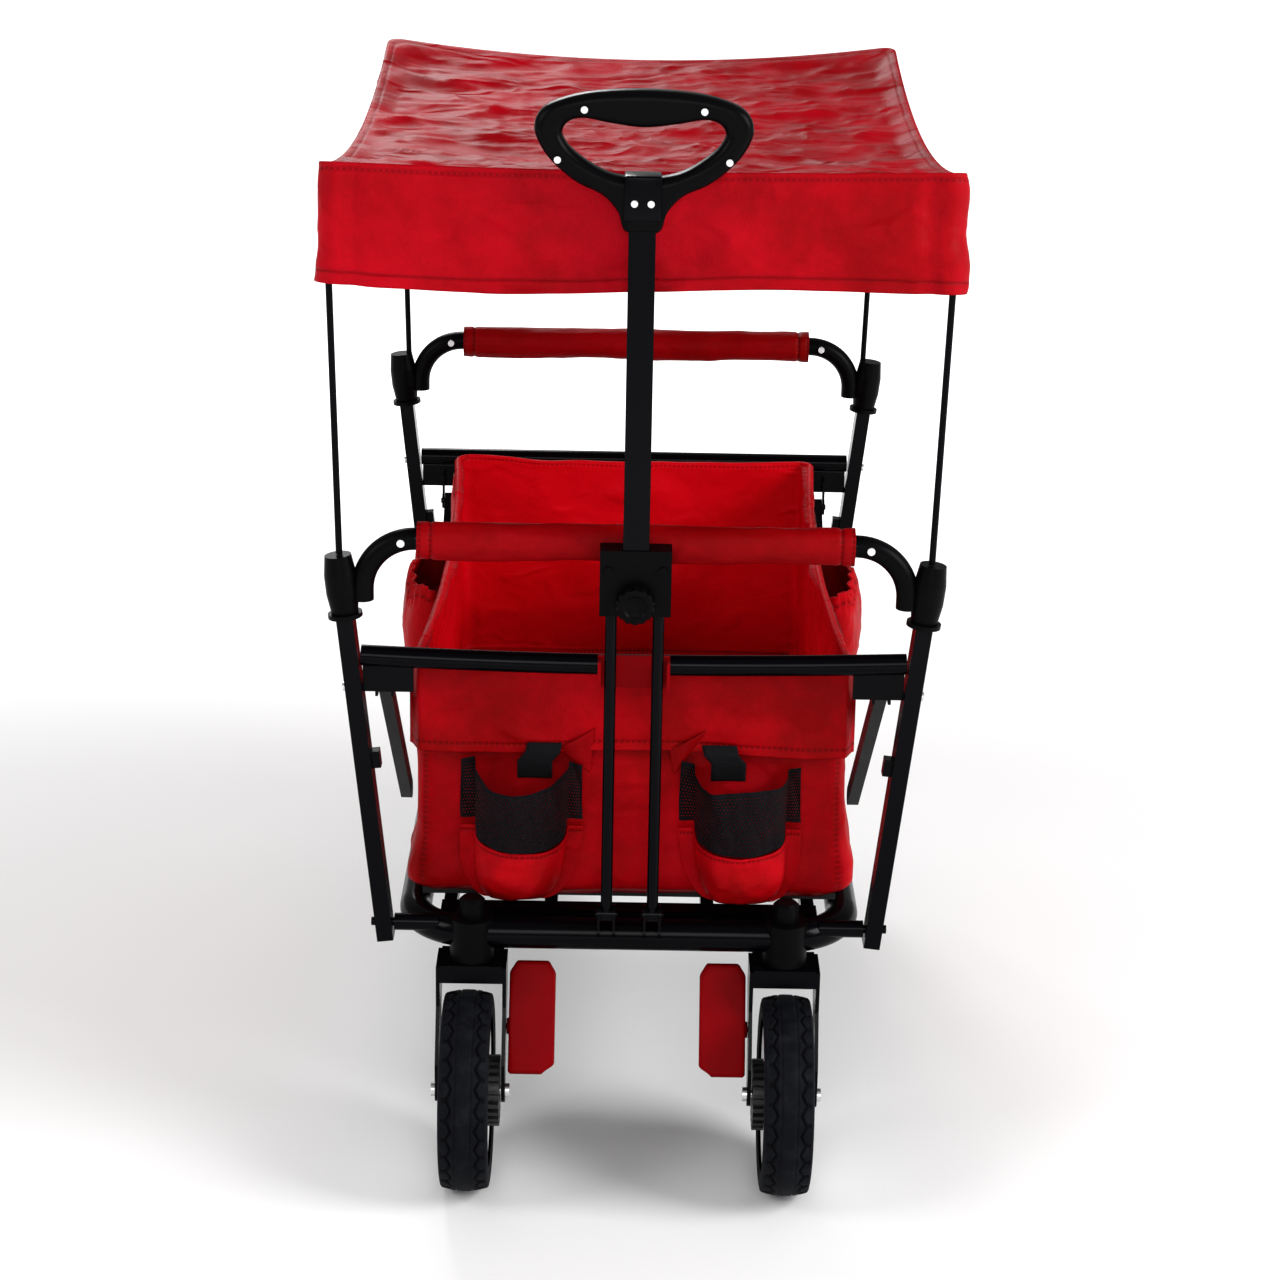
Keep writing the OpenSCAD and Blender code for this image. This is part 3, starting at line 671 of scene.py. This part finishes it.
def cup_holder(side_name):
    """A black net band sewn to the front wall by two wings, a red pouch under it and a strap above it."""
    side = SIDES[side_name]
    low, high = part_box(f"cup_holder_{side_name}")
    bottom = tub_shape()[2]
    mid_x, wall_y, depth = (low.x + high.x) / 2, high.y, high.y - low.y
    net_half, pouch_half, foot_half, wing_from, off_wall = 0.056, 0.052, 0.026, 0.80, 0.009
    net_cut, pouch_cut = (0.19, 0.062), (0.16, 0.085)

    def band(t, half, reach):
        """A cross-section from wing to wing, t in -1..1: flat on the wall at each end, bulging between."""
        a = min(1.0, abs(t) / wing_from) * math.pi / 2
        x = half * (0.76 * math.sin(a) ** 0.9 + 0.24 * max(0, abs(t) - wing_from) / (1 - wing_from))
        return mid_x + math.copysign(x, t), wall_y - off_wall - (reach - off_wall) * math.cos(a) ** 0.75

    def net_point(u, v):
        t = 2 * u - 1
        x, y = band(t, net_half, depth * (0.92 + 0.06 * v))
        forward = (wall_y - y) / depth
        lower = low.z + 0.083 - 0.024 * forward
        upper = high.z - 0.016 * forward + 0.004 * math.sin(5 * t + side)
        z = lower + (upper - lower) * v
        wobble = 0.0022 * swell((x, y, z), 20) + 0.0015 * math.sin(t * 15 + v * 3)
        return Vector((x + wobble * 0.5, y - abs(wobble), z))

    def net_marks(u, v):
        hems = max(bell(v, 1.0, 0.09), bell(v, 0.0, 0.05), bell(abs(2 * u - 1), 1.0, 0.03))
        return u * net_cut[0], v * net_cut[1], hems

    def pouch_point(u, v):
        t = 2 * u - 1
        full = math.sin(math.pi / 2 * min(1, v / 0.6)) ** 0.5
        half = (foot_half + (pouch_half - foot_half) * full) * (1 + 0.10 * v)
        x, y = band(t, half, depth * (0.10 + 0.84 * full))
        forward = (wall_y - y) / depth
        z = low.z - 0.004 + (0.078 - 0.016 * forward * v) * v + 0.003 * (1 - full) * abs(t)
        crease = 0.0075 * (ridge((x, y * 0.6, z), 13) - 0.45) + 0.005 * swell((x, 2 + side, z), 18)
        return Vector((x + side * 0.004 * (1 - v), y - crease * math.cos(t * math.pi / 2), z))

    def pouch_marks(u, v):
        return u * 0.21, v * 0.08, bell(v, 0.93, 0.02)

    band_net = sheet_mesh(f"cup_net_{side_name}", 44, 150, net_point, False, net_marks)
    dress(band_net, "base", net, "black_mesh", f"cup_holder_{side_name}")
    pouch = thicken(sheet_mesh(f"cup_pouch_{side_name}", 60, 120, pouch_point, False, pouch_marks), 0.0013)
    dress(pouch, "base", tub_cloth, "red_fabric")
    for soft in (band_net, pouch):
        fold_down(soft, bottom)
    route = [(mid_x - side * inward, wall_y - forward, high.z + up) for inward, forward, up in
             ((0.021, 0.011, 0.016), (0.019, 0.016, 0.008), (0.012, 0.016, 0), (0.012, 0.012, -0.018))]
    cup_strap(side_name, route, bottom)
    net_tab(side_name, (mid_x - side * 0.050, wall_y, high.z + 0.004), bottom)


def cup_strap(side_name, route, bottom):
    """A flat webbing strap that hangs from under the flap into the holder's mouth."""
    stops, width = [Vector(p) for p in route], 0.032

    def point(u, v):
        k = v * (len(stops) - 1)
        i = min(int(k), len(stops) - 2)
        return stops[i].lerp(stops[i + 1], k - i) + Vector(((u - 0.5) * width, 0.0006 * math.sin(u * math.pi), 0))

    def marks(u, v):
        return v * 0.06, u * width, 0

    made = thicken(sheet_mesh(f"cup_strap_{side_name}", 24, 8, point, False, marks), 0.0014, 0)
    dress(made, "base", webbing, "black_mesh")
    fold_down(made, bottom)


def net_tab(side_name, where, bottom):
    """A folded triangle of red cloth that ties a net's inner wing to the wall."""
    side = SIDES[side_name]
    cut, tall, lean, tilt = 0.034, 0.034, 0.012, 0.01

    def point(u, v):
        t = 2 * u - 1
        return Vector(where) + Vector((t * cut / 2 * (1 - v) - side * lean * v,
                                       -0.006 - 0.004 * math.sin(math.pi * u) * (1 - v),
                                       0.016 - tall * v + tilt * t * (1 - v)))

    tab = thicken(sheet_mesh(f"net_tab_{side_name}", 16, 16, point), 0.0014)
    # The tab takes the darker cloth with painted shade.
    dress(tab, "base", painted_shade_cloth, "red_fabric")
    fold_down(tab, bottom)


# ---------- grips, handle and small parts ----------

def grip_sleeve(end_name):
    """A loose cloth tube over the grip bar, creased lengthways, with a seam near each end."""
    end = ENDS[end_name]
    node = f"{end_name}_grip_sleeve"
    low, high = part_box(node)
    mid = (low + high) / 2
    half, r, end_seam = high.x, (high.z - low.z) / 2, 0.012

    def point(u, v):
        x, a = (2 * v - 1) * half, 2 * math.pi * u
        hang = max(0, -math.cos(a)) ** 2
        crease = ridge((x * 0.5, math.sin(a) * 0.02, math.cos(a) * 0.02), 30) - 0.5
        grow = r * (0.94 + 0.04 * swell((x, u, end), 11)) + 0.0018 * crease
        grow -= 0.0012 * bell(abs(x), half - end_seam, 0.0018)
        z = math.cos(a) * grow - 0.0022 * hang * (1 + 0.6 * math.sin(x * 34))
        return Vector((x, mid.y + math.sin(a) * grow * 0.97, mid.z + z))

    def marks(u, v):
        x = abs(2 * v - 1) * half
        return u * 2 * math.pi * r, x, bell(x, half - end_seam, 0.0016) + bell(x, half - 0.002, 0.001)

    sleeve = thicken(sheet_mesh(f"{node}_cloth", 300, 48, point, True, marks), 0.0016)
    # The sleeve takes the darker cloth with painted shade.
    dress(sleeve, f"{end_name}_frame", painted_shade_cloth, "red_fabric", node)


def smooth_loop(points, t):
    """A place at share t round a closed curve that runs evenly through its points."""
    n = len(points)
    k = int(t * n) % n
    f = t * n - int(t * n)
    p0, p1, p2, p3 = (Vector(points[(k + j) % n]) for j in (-1, 0, 1, 2))
    bend = 2 * p1 + (p2 - p0) * f + (2 * p0 - 5 * p1 + 4 * p2 - p3) * f ** 2 + (3 * p1 - p0 - 3 * p2 + p3) * f ** 3
    return bend / 2


def pull_grip():
    """A D-shaped grip moulded in one with its flared neck, and the steel collar that its rivets hold."""
    low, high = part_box("handle_grip")
    mid_y, top = (low.y + high.y) / 2, high.z
    half_t, edge = 0.0115, 0.0085
    # Half outlines, in millimetres from the middle of the grip's top.
    outer = [(0, 0), (42, 2.5), (70, 9), (86, 18), (92, 33), (85, 51), (72, 66), (55, 79), (34, 89), (21, 103),
             (15, 119), (0, 121)]
    inner = [(0, 31.5), (27, 28.5), (50, 24.5), (63, 27.5), (68.5, 36), (65, 45), (58, 52.5), (48, 60), (38, 66),
             (27, 70.5), (14, 73), (0, 73.5)]

    def outline(half):
        mirrored = [(-x, z) for x, z in half[-2:0:-1]]
        return [(x * MM, 0, top - z * MM) for x, z in half + mirrored]

    outer_loop, inner_loop = outline(outer), outline(inner)

    def point(u, v):
        out, inn = smooth_loop(outer_loop, u), smooth_loop(inner_loop, u)
        reach = out - inn
        across, _ = round_rect(v, reach.length / 2, half_t, min(edge, reach.length / 2 - 0.001))
        return (out + inn) / 2 + reach.normalized() * across.x + Vector((0, mid_y + across.y, 0))

    ring = sheet_mesh("handle_grip_moulding", 64, 264, point, True)
    weld(ring)
    dress(ring, "handle_pole", grip_rubber, "black_plastic", "handle_grip")
    collar = rounded_box("handle_collar", Vector((-0.0160, low.y + 0.0005, low.z + 0.004)),
                         Vector((0.0160, high.y - 0.0005, top - 0.071)), 0.0022)
    dress(collar, "handle_pole", frame_coat, "frame_paint")
    skirt = rounded_box("handle_skirt", Vector((-0.0142, low.y + 0.0012, low.z - 0.004)),
                        Vector((0.0142, high.y - 0.0012, low.z + 0.006)), 0.0015)
    dress(skirt, "handle_pole", black_mould, "black_plastic")


def tyre(node, body):
    """Foam tyre: a smooth centre band and a wavy groove along each shoulder."""
    low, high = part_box(node)
    mid = (low + high) / 2
    r, half = (high.z - low.z) / 2, (high.x - low.x) / 2
    rows, columns, waves = 64, 720, 30
    crown, crown_half, crown_drop, wall_drop, groove_depth = 0.8, 0.93, 0.0035, 0.0185, 0.0024

    def groove(u, t):
        wave = math.asin(math.sin(2 * math.pi * u * waves)) / (math.pi / 2)
        line = bell(abs(t), 0.60 + 0.10 * wave, 0.055)
        nick = bell((u * waves + 0.25) % 1.0, 0.5, 0.12) * smoothstep(0.66, 0.72, abs(t)) * (abs(t) < 0.93)
        return min(1.0, line + 0.7 * nick)

    def point(u, v):
        t, a = 2 * v - 1, 2 * math.pi * u
        if abs(t) < crown:
            s = t / crown
            x = half * crown_half * s
            rad = r - crown_drop * s * s - 0.0012 * bell(abs(s), 0.34, 0.03) - groove_depth * groove(u, s)
        else:
            s = (abs(t) - crown) / (1 - crown)
            x = math.copysign(half * (crown_half + (1 - crown_half) * math.sin(math.pi * s) ** 0.7), t)
            rad = r - crown_drop - s * wall_drop
        return mid + Vector((x, math.cos(a) * rad, math.sin(a) * rad))

    made = sheet_mesh(f"{node}_tread", rows, columns, point, True)
    # Painted shade: how dark the foam is painted in the grooves.
    painted_groove_shade = []
    for j in range(rows + 1):
        s = (2 * j / rows - 1) / crown
        painted_groove_shade += [groove(i / columns, s) if abs(s) < 1 else 0.0 for i in range(columns)]
    store(made.data, "groove", painted_groove_shade)
    dress(made, body, foam, "tyre_rubber", node)


def wheel_middle(rim):
    low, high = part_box(rim.replace("rim", "tyre"))
    return (low + high) / 2


def hub_cap(node, body, side):
    """A red domed cap with five lobes over the outer end of a hub."""
    mid = wheel_middle(node)
    foot, face, lobes, lobe_depth = 0.0055, 0.0205, 5, 0.10

    def point(u, v):
        a = 2 * math.pi * u
        rad = 0.030 * math.cos(v * math.pi / 2) ** 0.5 + 0.0045
        rad *= 1 + lobe_depth * math.cos(lobes * a) * (1 - v)
        x = side * (foot + (face - foot) * math.sin(v * math.pi / 2))
        return mid + Vector((x, math.cos(a) * rad, math.sin(a) * rad))

    made = sheet_mesh(f"{node}_cap", 20, 80, point, True, cap_last=True)
    dress(made, body, red_plastic, "red_plastic")


def wheel_spokes(node, body, side):
    """Five raised ribs on a wheel's outer face."""
    count, face, proud = 5, 0.015, 0.0032
    rib_middle, rib_width, rib_length, rib_edge = 0.044, 0.015, 0.040, 0.0011
    middle = wheel_middle(node) + Vector((side * (face + proud / 2), 0, 0))
    bm = bmesh.new()
    for k in range(count):
        turn = Matrix.Rotation(math.radians(360 / count * k), 4, "X")
        rib = Matrix.Translation((0, 0, rib_middle)) @ Matrix.Diagonal((proud, rib_width, rib_length, 1))
        bmesh.ops.create_cube(bm, size=1, matrix=Matrix.Translation(middle) @ turn @ rib)
    bmesh.ops.bevel(bm, geom=bm.edges[:], offset=rib_edge, segments=3, profile=0.5, affect="EDGES")
    dress(from_bmesh(f"{node}_spokes", bm), body, rim_white, "wheel_plastic")


def brake_pedal(side_name):
    """A dished foot plate, narrower at the top, on a boss round its pivot pin."""
    side = SIDES[side_name]
    node = f"brake_pedal_{side_name}"
    low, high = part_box(node)
    inner_x, outer_x = sorted((abs(low.x), abs(high.x)))
    plate_half, plate_t, top_taper = 0.0215, 0.0058, 0.74
    boss_r, boss_length = 0.0085, 0.016
    mid_x = side * (inner_x + plate_half)
    top = Vector((0, high.y - 0.006, high.z - 0.002))
    foot = Vector((0, low.y + 0.008, low.z + 0.008))
    slope = (top - foot).normalized()
    outward = Vector((0, -slope.z, slope.y))
    length = (top - foot).length

    def end_round(past):
        return math.sqrt(max(0.0, 1 - max(0, past / 0.03) ** 2))

    def point(u, v):
        c, s = math.cos(2 * math.pi * u), math.sin(2 * math.pi * u)
        half = plate_half * (top_taper + (1 - top_taper) * smoothstep(0.0, 0.12, 1 - v))
        rounding = end_round(v - 0.97) * end_round(0.03 - v)
        lip = 1 - 0.5 * smoothstep(0.1, 0.0, v) * (c * side < 0)
        x = mid_x + half * lip * math.copysign(abs(c) ** 0.35, c) * (0.9 + 0.1 * rounding)
        thick = plate_t * math.copysign(abs(s) ** 0.5, s) * (0.35 + 0.65 * rounding)
        dish = -0.0022 * math.sin(math.pi * v) * (1 - c * c)
        where = foot + slope * (length * v) + outward * (thick + dish + 0.006 * v * (1 - v))
        return Vector((x, where.y, where.z))

    plate = sheet_mesh(f"{node}_plate", 60, 64, point, True, cap_first=True, cap_last=True)
    dress(plate, f"brake_{side_name}", red_plastic, "red_plastic", node)
    pivot = Vector(next(j["pos_m"] for j in frame["joints"] if j["name"] == f"brake_press_{side_name}"))

    def boss_point(u, v):
        a = 2 * math.pi * u
        r = boss_r - 0.0012 * bell(v, 1.0, 0.15)
        return Vector((side * (outer_x - boss_length * (1 - v)), pivot.y + r * math.cos(a), pivot.z + r * math.sin(a)))

    boss = sheet_mesh(f"{node}_boss", 12, 40, boss_point, True, cap_first=True, cap_last=True)
    dress(boss, f"brake_{side_name}", red_plastic, "red_plastic")


def lock_knob():
    """A round knob with flutes round its edge and a dished face."""
    low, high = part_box("handle_knob")
    mid = (low + high) / 2
    r, depth = (high.z - low.z) / 2, high.y - low.y
    flutes, flute_depth = 14, 0.07
    # Shares of the radius and of the depth, from the back to the middle of the face.
    profile = [(0.62, 0.0), (0.80, 0.02), (0.98, 0.16), (1.0, 0.5), (0.98, 0.82), (0.90, 0.96), (0.62, 1.0),
               (0.5, 0.90)]

    def point(u, v):
        a = 2 * math.pi * u
        k = v * (len(profile) - 1)
        i = min(int(k), len(profile) - 2)
        share, out = Vector(profile[i]).lerp(Vector(profile[i + 1]), k - i)
        cut = flute_depth * (0.5 + 0.5 * math.cos(flutes * a)) * smoothstep(0.8, 0.97, share)
        rad = r * share * (1 - cut)
        return Vector((mid.x + math.cos(a) * rad, high.y - depth * out, mid.z + math.sin(a) * rad))

    made = sheet_mesh("lock_knob", 42, 168, point, True, cap_first=True, cap_last=True)
    dress(made, "handle_knob", black_mould, "black_plastic", "handle_knob")


# ---------- carried-over parts ----------

def finish_frame_parts():
    """Gives each CAD part its material, and eases the edges of those that show."""
    finishes = [
        (("canopy_rods",), rod_coat), (("rivets", "axle", "screws"), zinc), (("braces",), brace_coat),
        (("knobs", "elbows", "housings", "caps", "yoke_plate", "handle_grip"), black_mould),
        (("rim_left", "rim_right"), rim_white), (("clip", "pedal"), red_plastic), (("boards",), board),
    ]
    for name, node in frame["nodes"].items():
        paint_over(node, next((m for keys, m in finishes if any(k in name for k in keys)), frame_coat))
        if not node.hide_render:
            ease = node.modifiers.new("eased edges", "BEVEL")
            ease.width = 0.0007
            ease.segments = 2
            ease.limit_method = "ANGLE"
            ease.angle_limit = math.radians(40)


# ---------- studio ----------

def studio_floor():
    """A pale floor that turns to plain white away from the wagon."""
    clear_r, white_r = 0.7, 3.0
    paint = Paint("studio_floor", Specular_IOR_Level=0.2, Emission_Strength=1.0)
    mottle = paint.noise(2, 3, 0.5)
    tone = paint.blend(mottle, (0.86, 0.86, 0.86), (0.9, 0.9, 0.9))
    x, y = paint.along("X"), paint.along("Y")
    far = paint.ramp((x * x + y * y) ** 0.5, clear_r, white_r)
    glow = paint.blend(far, (0.0, 0.0, 0.0), (0.72, 0.72, 0.72))
    material = paint.finish(Base_Color=tone, Roughness=0.6 + mottle * 0.1, Emission_Color=glow)
    bpy.ops.mesh.primitive_plane_add(size=40, location=(0, 0, -0.0005))
    floor = bpy.context.object
    floor.name = "studio_floor"
    floor.data.materials.append(material)


def studio_light():
    """A white surround that lights the wagon softly, and four area lights. Each aims at the wagon's middle."""
    glow_on_wagon, glow_seen = 0.36, 1.0
    aim = Vector((0, 0, 0.5))
    lights = [("key", (2.6, -1.4, 2.0), 1.5, 80), ("fill", (-2.4, -1.5, 2.1), 1.2, 26),
              ("back", (-0.6, 2.5, 2.2), 0.9, 34), ("front", (0.0, -3.4, 1.7), 1.2, 22)]
    world = bpy.data.worlds.new("studio")
    world.use_nodes = True
    sky = world.node_tree
    surround = sky.nodes["Background"]
    surround.inputs["Color"].default_value = (1, 1, 1, 1)
    strength = sky.nodes.new("ShaderNodeMapRange")
    strength.inputs["To Min"].default_value = glow_on_wagon
    strength.inputs["To Max"].default_value = glow_seen
    sky.links.new(sky.nodes.new("ShaderNodeLightPath").outputs["Is Camera Ray"], strength.inputs["Value"])
    sky.links.new(strength.outputs[0], surround.inputs["Strength"])
    bpy.context.scene.world = world
    for name, where, size, power in lights:
        data = bpy.data.lights.new(name, "AREA")
        data.size = size
        data.energy = power
        light = add_object(name, data)
        light.location = where
        light.rotation_euler = (aim - Vector(where)).to_track_quat("-Z", "Y").to_euler()
    bpy.context.scene.view_settings.view_transform = "Standard"
    bpy.context.scene.view_settings.look = "Medium High Contrast"


canopy_cover()
tub()
front_flap()
for side_name in SIDES:
    side_pocket(side_name)
    cup_holder(side_name)
    brake_pedal(side_name)
for end_name in ENDS:
    grip_sleeve(end_name)
pull_grip()
lock_knob()
for end_name in ENDS:
    for side_name, side in SIDES.items():
        wheel_body = f"{end_name}_wheel_{side_name}"
        tyre(f"{end_name}_tyre_{side_name}", wheel_body)
        hub_cap(f"{end_name}_rim_{side_name}", wheel_body, side)
        wheel_spokes(f"{end_name}_rim_{side_name}", wheel_body, side)
finish_frame_parts()
studio_floor()
studio_light()
